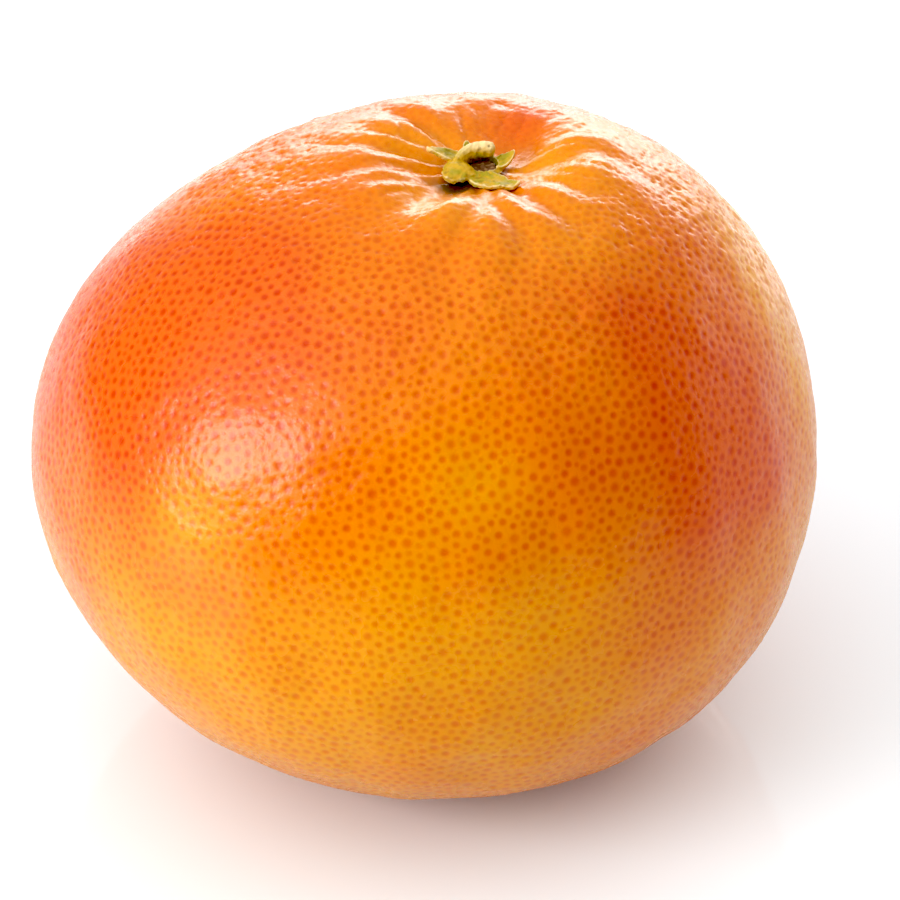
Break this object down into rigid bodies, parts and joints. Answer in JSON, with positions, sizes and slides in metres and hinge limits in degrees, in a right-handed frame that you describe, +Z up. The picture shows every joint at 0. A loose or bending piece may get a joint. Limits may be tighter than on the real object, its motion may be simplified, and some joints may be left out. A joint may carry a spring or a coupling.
{
  "type": "grapefruit",
  "caption": "Whole round citrus fruit with folds around the hollow of its stem end and a dry green calyx in it, resting on a small flat spot.",
  "frame": {"origin": "on the table, under the middle of the fruit's width and depth", "axes": "+Z up towards the stem end, -Y towards the side where the front sepals lie, +X to that side's right"},
  "size_m": [0.109, 0.107, 0.0907],
  "materials": {
    "peel": "satin, waxy rind with darker oil glands and a red blush",
    "calyx": "matte, dry and leathery, paler at the edges",
    "scar": "matte, rough and fibrous"
  },
  "bodies": {
    "root": {"fruit": "peel", "calyx": "calyx", "stem_scar": "scar"}
  },
  "joints": []
}
